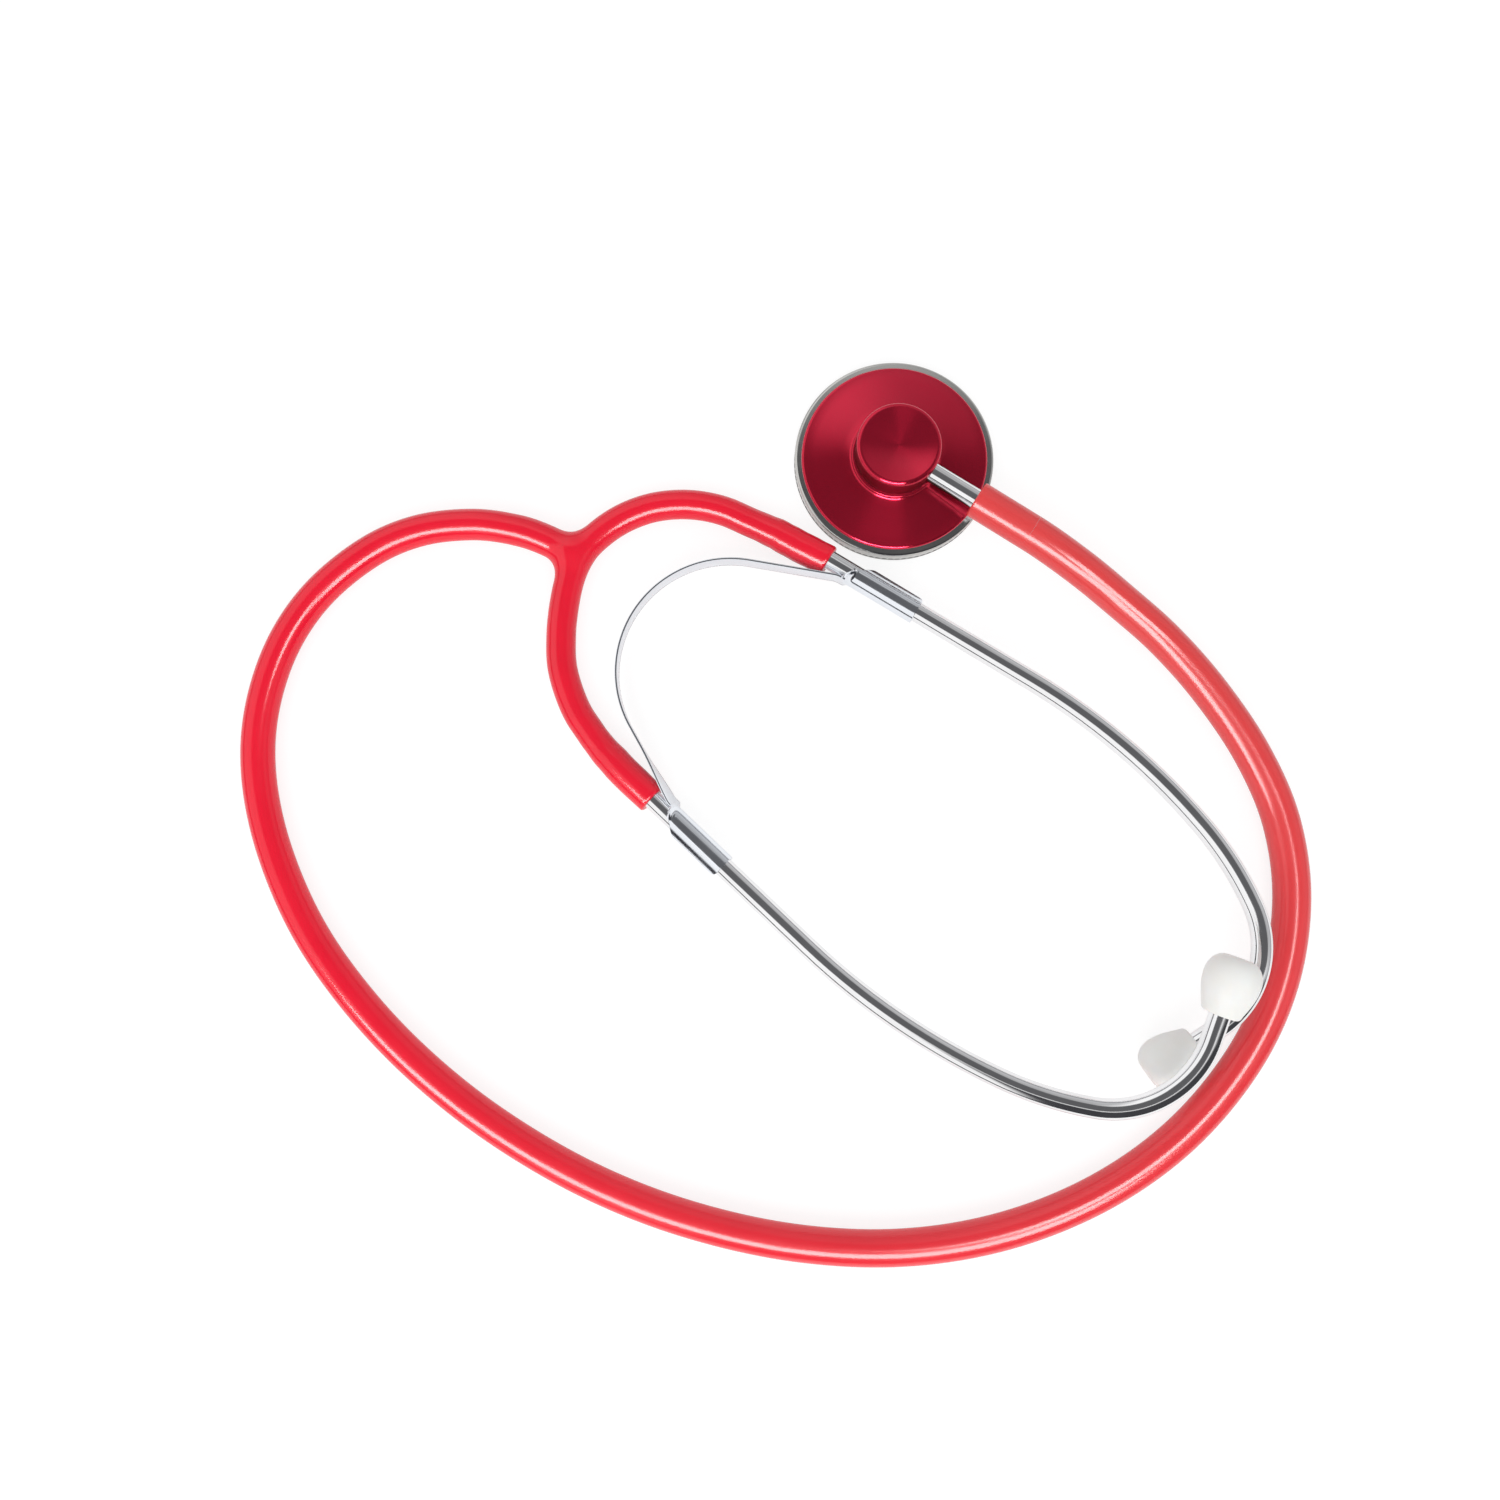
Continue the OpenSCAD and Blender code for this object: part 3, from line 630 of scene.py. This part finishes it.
HEAD_R = 20.87
HUB_TOP = 14.08
DISH_R = 8.2
DISH_DEPTH = 0.8
DISH_STEPS = 10
HEAD_SIDES = 160
HEAD_OUTLINE = (
    [(DISH_R * i / DISH_STEPS, HUB_TOP - DISH_DEPTH * (1 - (i / DISH_STEPS) ** 2))
     for i in range(DISH_STEPS + 1)]
    + rounded((8.35, 13.15), 0.95, 90, 0, 10)
    + [(9.3, 7.75), (9.24, 7.55), (9.0, 7.3), (9.0, 7.0), (9.06, 6.92)]
    + rounded((9.45, 6.55), 0.35, 100, 0, 8)
    + [(9.82, 6.3), (9.98, 6.12), (10.35, 6.0), (12, 5.83), (15, 5.49), (18, 5.13), (20.1, 4.87)]
    + [(20.26, 4.88), (20.42, 4.86), (20.6, 4.76), (20.78, 4.58), (20.86, 4.42), (HEAD_R, 4.3)]
    + [(HEAD_R, 1.55), (20.72, 1.4), (18.9, 1.4), (18.77, 1.55), (18.77, 2.2), (1.5, 4), (1.5, 8), (0, 8)]
)
head = turned("chestpiece_disc", HEAD_OUTLINE, HEAD_SIDES)


# Finishes

def finish_named(name):
    """New material with its shader, and short ways to add and link nodes."""
    finish = bpy.data.materials.new(name)
    finish.use_nodes = True
    nodes = finish.node_tree.nodes
    return finish, nodes, finish.node_tree.links, nodes["Principled BSDF"]


def add(nodes, kind, **settings):
    """New node, with its inputs or options set."""
    node = nodes.new("ShaderNode" + kind)
    for name, value in settings.items():
        if name in node.inputs:
            node.inputs[name].default_value = value
        else:
            setattr(node, name, value)
    return node


def ranged(nodes, links, source, low, high, start=0.0, end=1.0):
    """Maps a value that runs from start to end to one that runs from low to high."""
    node = add(nodes, "MapRange")
    node.inputs["From Min"].default_value = start
    node.inputs["From Max"].default_value = end
    node.inputs["To Min"].default_value = low
    node.inputs["To Max"].default_value = high
    links.new(source, node.inputs["Value"])
    return node.outputs["Result"]


def bumped(nodes, links, shader, height, distance, strength):
    """Raises a shader's surface by a height."""
    bump = add(nodes, "Bump", Strength=strength, Distance=distance)
    links.new(height, bump.inputs["Height"])
    links.new(bump.outputs["Normal"], shader.inputs["Normal"])


def stops(ramp, colours):
    """Colour stops of a ramp: (place, colour)."""
    band = ramp.color_ramp
    while len(band.elements) < len(colours):
        band.elements.new(0.5)
    for stop, (at, colour) in zip(band.elements, colours):
        stop.position = at
        stop.color = (*colour, 1)


RED = (0.88, 0.005, 0.03)
DEEP_RED = (0.84, 0.007, 0.03)
MID_RED = (0.83, 0.036, 0.05)
CORAL = (0.79, 0.062, 0.064)
# Most of a noise lies between these values
NOISE_SPAN = (0.3, 0.7)


def moulded_red(name, fades):
    """Dip-moulded soft tubing: glossy red with faint mottling and a fine orange peel."""
    finish, nodes, links, shader = finish_named(name)
    place_on = add(nodes, "TexCoord").outputs["Object"]
    mottle = add(nodes, "TexNoise", Scale=90.0, Detail=3.0, Roughness=0.55)
    peel = add(nodes, "TexNoise", Scale=900.0, Detail=2.0, Roughness=0.5)
    links.new(place_on, mottle.inputs["Vector"])
    links.new(place_on, peel.inputs["Vector"])
    tone = add(nodes, "ValToRGB")
    if fades:
        far = add(nodes, "Attribute", attribute_name="along")
        stops(tone, [(0.0, RED), (0.34, RED), (0.6, MID_RED), (0.86, CORAL), (1.0, CORAL)])
        links.new(far.outputs["Fac"], tone.inputs["Fac"])
    else:
        stops(tone, [(0.3, DEEP_RED), (0.6, RED)])
        links.new(mottle.outputs["Fac"], tone.inputs["Fac"])
    shade = add(nodes, "HueSaturation")
    links.new(tone.outputs["Color"], shade.inputs["Color"])
    links.new(ranged(nodes, links, mottle.outputs["Fac"], 0.98, 1.02, *NOISE_SPAN),
              shade.inputs["Value"])
    links.new(shade.outputs["Color"], shader.inputs["Base Color"])
    links.new(ranged(nodes, links, mottle.outputs["Fac"], 0.17, 0.21, *NOISE_SPAN),
              shader.inputs["Roughness"])
    bumped(nodes, links, shader, peel.outputs["Fac"], distance=0.00002, strength=0.12)
    shader.inputs["Subsurface Weight"].default_value = 0.06
    shader.inputs["Subsurface Radius"].default_value = (0.0025, 0.0006, 0.0005)
    shader.inputs["Specular IOR Level"].default_value = 0.55
    return finish


def plated(name, tint, rough, drawn_along):
    """Bright plate over drawn metal: hazy spots in the gloss and fine draw lines."""
    finish, nodes, links, shader = finish_named(name)
    place_on = add(nodes, "TexCoord").outputs["Object"]
    haze = add(nodes, "TexNoise", Scale=140.0, Detail=4.0, Roughness=0.6)
    links.new(place_on, haze.inputs["Vector"])
    squeeze = add(nodes, "Mapping")
    squeeze.inputs["Rotation"].default_value = (0, 0, math.radians(drawn_along))
    squeeze.inputs["Scale"].default_value = (60, 2600, 2600)
    links.new(place_on, squeeze.inputs["Vector"])
    lines = add(nodes, "TexNoise", Scale=1.0, Detail=2.0)
    links.new(squeeze.outputs["Vector"], lines.inputs["Vector"])
    tone = add(nodes, "ValToRGB")
    stops(tone, [(0.3, tuple(c * 0.93 for c in tint)), (0.7, tint)])
    links.new(haze.outputs["Fac"], tone.inputs["Fac"])
    links.new(tone.outputs["Color"], shader.inputs["Base Color"])
    links.new(ranged(nodes, links, haze.outputs["Fac"], rough * 0.7, rough * 1.3, *NOISE_SPAN),
              shader.inputs["Roughness"])
    bumped(nodes, links, shader, lines.outputs["Fac"], distance=0.000006, strength=0.12)
    shader.inputs["Metallic"].default_value = 1
    return finish


def anodised(name):
    """Crimson anodised aluminium with the rings that the turning tool left."""
    finish, nodes, links, shader = finish_named(name)
    place_on = add(nodes, "TexCoord").outputs["Object"]
    rings = add(nodes, "TexWave", wave_type="RINGS", rings_direction="Z", Scale=1500.0, Distortion=0.4,
                Detail=2.0)
    blotch = add(nodes, "TexNoise", Scale=60.0, Detail=3.0)
    links.new(place_on, rings.inputs["Vector"])
    links.new(place_on, blotch.inputs["Vector"])
    tone = add(nodes, "ValToRGB")
    stops(tone, [(0.3, (0.65, 0.011, 0.046)), (0.7, (0.71, 0.015, 0.055))])
    links.new(blotch.outputs["Fac"], tone.inputs["Fac"])
    links.new(tone.outputs["Color"], shader.inputs["Base Color"])
    links.new(ranged(nodes, links, rings.outputs["Fac"], 0.2, 0.25), shader.inputs["Roughness"])
    bumped(nodes, links, shader, rings.outputs["Fac"], distance=0.000004, strength=0.25)
    turning = add(nodes, "Tangent", direction_type="RADIAL", axis="Z")
    links.new(turning.outputs["Tangent"], shader.inputs["Tangent"])
    shader.inputs["Metallic"].default_value = 0.86
    shader.inputs["Anisotropic"].default_value = 0.9
    shader.inputs["Anisotropic Rotation"].default_value = 0.25
    shader.inputs["Coat Weight"].default_value = 0.35
    shader.inputs["Coat Roughness"].default_value = 0.12
    return finish


def milky(name, colour, warm, rough):
    """Soft plastic that light goes a little way into, with a satin skin."""
    finish, nodes, links, shader = finish_named(name)
    place_on = add(nodes, "TexCoord").outputs["Object"]
    cloud = add(nodes, "TexNoise", Scale=160.0, Detail=4.0)
    skin = add(nodes, "TexNoise", Scale=1400.0, Detail=2.0)
    links.new(place_on, cloud.inputs["Vector"])
    links.new(place_on, skin.inputs["Vector"])
    tone = add(nodes, "ValToRGB")
    stops(tone, [(0.32, warm), (0.62, colour)])
    links.new(cloud.outputs["Fac"], tone.inputs["Fac"])
    links.new(tone.outputs["Color"], shader.inputs["Base Color"])
    links.new(ranged(nodes, links, cloud.outputs["Fac"], rough - 0.06, rough + 0.06, *NOISE_SPAN),
              shader.inputs["Roughness"])
    bumped(nodes, links, shader, skin.outputs["Fac"], distance=0.00003, strength=0.3)
    shader.inputs["Subsurface Weight"].default_value = 0.35
    shader.inputs["Subsurface Radius"].default_value = (0.003, 0.0026, 0.0022)
    return finish


HOSE_RED = moulded_red("hose_red", fades=True)
ARM_RED = moulded_red("arm_red", fades=False)
TUBE_CHROME = plated("tube_chrome", (0.93, 0.93, 0.94), rough=0.09, drawn_along=-35)
RING_CHROME = plated("ring_chrome", (0.62, 0.61, 0.59), rough=0.13, drawn_along=0)
SPRING_PLATE = plated("spring_plate", (0.9, 0.93, 0.98), rough=0.12, drawn_along=0)
CRIMSON = anodised("crimson_anodised")
TIP_WHITE = milky("tip_white", (0.9, 0.905, 0.885), (0.87, 0.865, 0.835), rough=0.42)
IVORY = milky("ivory_sheet", (0.82, 0.8, 0.7), (0.78, 0.75, 0.64), rough=0.36)


def dress(piece, finish):
    """Gives a piece its finish, and a new piece its material slot."""
    piece.data.materials.clear()
    piece.data.materials.append(finish)


for piece, finish, slot, body, node in (
        (hose, HOSE_RED, "tubing", "tubing", "main_tube"),
        (hose_end, HOSE_RED, "tubing", "tubing", "tubing_end"),
        (left_clip, SPRING_PLATE, "spring_steel", "tubing", "spring_clip_left"),
        (right_clip, SPRING_PLATE, "spring_steel", "right_clip", "spring_clip_right"),
        (left_tube, TUBE_CHROME, "chrome", "left_ear_tube", "ear_tube_left"),
        (right_tube, TUBE_CHROME, "chrome", "right_ear_tube", "ear_tube_right"),
        (left_tip, TIP_WHITE, "ear_tip", "left_ear_tip", "ear_tip_left"),
        (right_tip, TIP_WHITE, "ear_tip", "right_ear_tip", "ear_tip_right"),
        (head, CRIMSON, "anodised_red", "chestpiece", "chestpiece_head")):
    dress(piece, finish)
    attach(piece, body)
    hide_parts(node)

dress(arms, ARM_RED)
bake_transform(arms)
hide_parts("tubing_yoke", "tubing_arm_left", "tubing_arm_right")
dress(strip, SPRING_PLATE)
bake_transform(strip)
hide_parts("leaf_spring")
for node, finish in (("retaining_ring", RING_CHROME), ("chestpiece_stem", TUBE_CHROME),
                     ("diaphragm", IVORY)):
    dress(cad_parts[node], finish)


# Floor, light and background

bpy.ops.mesh.primitive_plane_add(size=8, location=(0, 0, -0.0001))
floor = bpy.context.object
floor.name = "floor"
paper = bpy.data.materials.new("white_paper")
paper.use_nodes = True
nodes = paper.node_tree.nodes
links = paper.node_tree.links
nodes.clear()
path = add(nodes, "LightPath")
grain = add(nodes, "TexNoise", Scale=300.0, Detail=2.0)
links.new(add(nodes, "TexCoord").outputs["Object"], grain.inputs["Vector"])
white = add(nodes, "ValToRGB")
stops(white, [(0.0, (0.84, 0.84, 0.85)), (1.0, (0.88, 0.88, 0.88))])
links.new(grain.outputs["Fac"], white.inputs["Fac"])


def glowing(shade, strength):
    """White of the paper as it is seen: partly lit, so that it takes the object's shadow."""
    lit = add(nodes, "BsdfDiffuse", Color=(shade, shade, shade, 1))
    glow = add(nodes, "Emission", Color=(1, 1, 1, 1), Strength=strength)
    both = add(nodes, "AddShader")
    links.new(lit.outputs["BSDF"], both.inputs[0])
    links.new(glow.outputs["Emission"], both.inputs[1])
    return both.outputs["Shader"]


def joined(operation, first, *others):
    """Several values joined into one, such as their product."""
    for other in others:
        pair = add(nodes, "Math", operation=operation)
        links.new(first, pair.inputs[0])
        links.new(other, pair.inputs[1])
        first = pair.outputs["Value"]
    return first


bounce = add(nodes, "BsdfDiffuse")
links.new(white.outputs["Color"], bounce.inputs["Color"])
mirrored = joined("MAXIMUM", path.outputs["Is Glossy Ray"], path.outputs["Is Transmission Ray"])
in_metal = add(nodes, "MixShader")
links.new(mirrored, in_metal.inputs["Fac"])
links.new(bounce.outputs["BSDF"], in_metal.inputs[1])
links.new(glowing(shade=0.6, strength=0.38), in_metal.inputs[2])
either = add(nodes, "MixShader")
links.new(path.outputs["Is Camera Ray"], either.inputs["Fac"])
links.new(in_metal.outputs["Shader"], either.inputs[1])
links.new(glowing(shade=0.25, strength=0.82), either.inputs[2])
links.new(either.outputs["Shader"], add(nodes, "OutputMaterial").inputs["Surface"])
floor.data.materials.append(paper)

# A dark card over the table, which bright metal shows as a dark band
bpy.ops.mesh.primitive_plane_add(size=1.2, location=(0.08, 0, 0.45))
card = bpy.context.object
card.name = "dark_card"
for ray in ("camera", "diffuse", "transmission", "volume_scatter", "shadow"):
    setattr(card, "visible_" + ray, False)
black = bpy.data.materials.new("black_card")
black.use_nodes = True
nodes = black.node_tree.nodes
links = black.node_tree.links
nodes.clear()
spot = add(nodes, "SeparateXYZ")
links.new(add(nodes, "NewGeometry").outputs["Position"], spot.inputs["Vector"])


def eased_edge(source, clear, full):
    """Eases from 0 to 1 between two places along a source."""
    edge = add(nodes, "MapRange", interpolation_type="SMOOTHSTEP")
    edge.inputs["From Min"].default_value = min(clear, full)
    edge.inputs["From Max"].default_value = max(clear, full)
    edge.inputs["To Min"].default_value = 0 if clear < full else 1
    edge.inputs["To Max"].default_value = 1 if clear < full else 0
    links.new(source, edge.inputs["Value"])
    return edge.outputs["Result"]


# The card fades out between two places at each of its four sides
CARD_SIDES = [("X", -0.36, -0.27), ("X", 0.55, 0.42), ("Y", -0.28, -0.23), ("Y", 0.26, 0.15)]
on_card = joined("MULTIPLY", *(eased_edge(spot.outputs[axis], clear, full)
                               for axis, clear, full in CARD_SIDES))
cut = add(nodes, "MixShader")
links.new(on_card, cut.inputs["Fac"])
links.new(add(nodes, "BsdfTransparent").outputs["BSDF"], cut.inputs[1])
dim = add(nodes, "Emission", Color=(0.115, 0.115, 0.12, 1), Strength=1.0)
links.new(dim.outputs["Emission"], cut.inputs[2])
links.new(cut.outputs["Shader"], add(nodes, "OutputMaterial").inputs["Surface"])
card.data.materials.append(black)

# A white tent, grey on its right side, dark in front on the right and along the table
room = bpy.data.worlds.new("white_tent")
bpy.context.scene.world = room
room.use_nodes = True
nodes = room.node_tree.nodes
links = room.node_tree.links
nodes.clear()
path = add(nodes, "LightPath")
way = add(nodes, "TexCoord").outputs["Generated"]
rise = add(nodes, "SeparateXYZ")
links.new(way, rise.inputs["Vector"])


def towards(direction):
    """How far a ray goes a direction's way."""
    part = add(nodes, "VectorMath", operation="DOT_PRODUCT")
    links.new(way, part.inputs[0])
    part.inputs[1].default_value = direction
    return part.outputs["Value"]


def mixed(share, first, second):
    """Mix of two colours, each given or from a node."""
    mix = add(nodes, "MixRGB")
    links.new(share, mix.inputs["Fac"])
    for socket, colour in ((mix.inputs["Color1"], first), (mix.inputs["Color2"], second)):
        if isinstance(colour, tuple):
            socket.default_value = (*colour, 1)
        else:
            links.new(colour, socket)
    return mix.outputs["Color"]


WHITE = (1, 1, 1)
WALL_LOW = (0.53, 0.53, 0.54)
WALL_HIGH = (0.36, 0.36, 0.365)
GAP_GREY = (0.33, 0.33, 0.34)
GAP_DARK = (0.03, 0.03, 0.035)
FRONT_DARK = (0.05, 0.05, 0.055)
TO_RIGHT = (0.8, 0.6, 0)
TO_FRONT_LEFT = (-0.5, -0.86, 0)
right_wall = mixed(eased_edge(rise.outputs["Z"], 0.3, 0.9), WALL_LOW, WALL_HIGH)
walls = mixed(eased_edge(towards(TO_RIGHT), 0.25, 0.6), WHITE, right_wall)
table_gap = mixed(eased_edge(towards(TO_FRONT_LEFT), 0.1, 0.5), GAP_GREY, GAP_DARK)
walls = mixed(eased_edge(rise.outputs["Z"], 0.24, 0.17), walls, table_gap)
front_right = joined("MULTIPLY", eased_edge(rise.outputs["X"], -0.3, -0.16),
                     eased_edge(rise.outputs["Y"], -0.28, -0.42))
walls = mixed(front_right, walls, FRONT_DARK)
view = mixed(path.outputs["Is Glossy Ray"], WHITE, walls)
backdrop = add(nodes, "Background", Strength=1.0)
links.new(view, backdrop.inputs["Color"])
fill = add(nodes, "Background", Color=(1, 1, 1, 1), Strength=0.7)
seen = joined("MAXIMUM", path.outputs["Is Camera Ray"], path.outputs["Is Glossy Ray"],
              path.outputs["Is Transmission Ray"])
either = add(nodes, "MixShader")
links.new(seen, either.inputs["Fac"])
links.new(fill.outputs["Background"], either.inputs[1])
links.new(backdrop.outputs["Background"], either.inputs[2])
links.new(either.outputs["Shader"], add(nodes, "OutputWorld").inputs["Surface"])


def softbox(name, start, end, aim, width, power):
    """Softbox between two points, turned to its aim."""
    start = Vector(start)
    end = Vector(end)
    middle = (start + end) / 2
    along = (end - start).normalized()
    back = middle - Vector(aim)
    back = (back - along * back.dot(along)).normalized()
    bpy.ops.object.light_add(type="AREA", location=middle)
    lamp = bpy.context.object
    lamp.name = name
    lamp.data.shape = "RECTANGLE"
    lamp.data.size = (end - start).length
    lamp.data.size_y = width
    lamp.data.energy = power
    lamp.rotation_euler = Matrix((along, back.cross(along), back)).transposed().to_euler()
    lamp.visible_camera = False
    return lamp


MIDDLE = (-0.03, -0.09, 0)
HOSE_BEND = (0.06, -0.13, 0)
HEAD_AT = (0, 0, 0)
key = softbox("key_softbox", (-0.55, -0.5, 0.5), (0.25, -0.5, 0.5), MIDDLE, width=0.5, power=2.4)
key.visible_glossy = False
# These softboxes only make the long highlights, each on its own pieces
front = softbox("front_softbox", (-0.62, -0.47, 0.44), (0.3, -0.47, 0.44), MIDDLE, width=0.24, power=9)
top = softbox("top_softbox", (0.085, -0.24, 0.42), (0.21, -0.145, 0.42), HOSE_BEND,
              width=0.136, power=0.92)
low = softbox("head_softbox", (-0.26, -0.46, 0.36), (0.14, -0.46, 0.36), HEAD_AT, width=0.14, power=4)
for lamp, lit in ((front, (hose, hose_end, arms)), (top, (hose, hose_end)), (low, (head,))):
    lamp.visible_diffuse = False
    receivers = bpy.data.collections.new(lamp.name + "_on")
    for piece in lit:
        receivers.objects.link(piece)
    lamp.light_linking.receiver_collection = receivers

# Bright metal mirrors the tent, and not the red pieces or the ring beside it
for piece in (hose, hose_end, arms, head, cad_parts["retaining_ring"]):
    piece.visible_glossy = False
bpy.context.scene.view_settings.view_transform = "Standard"
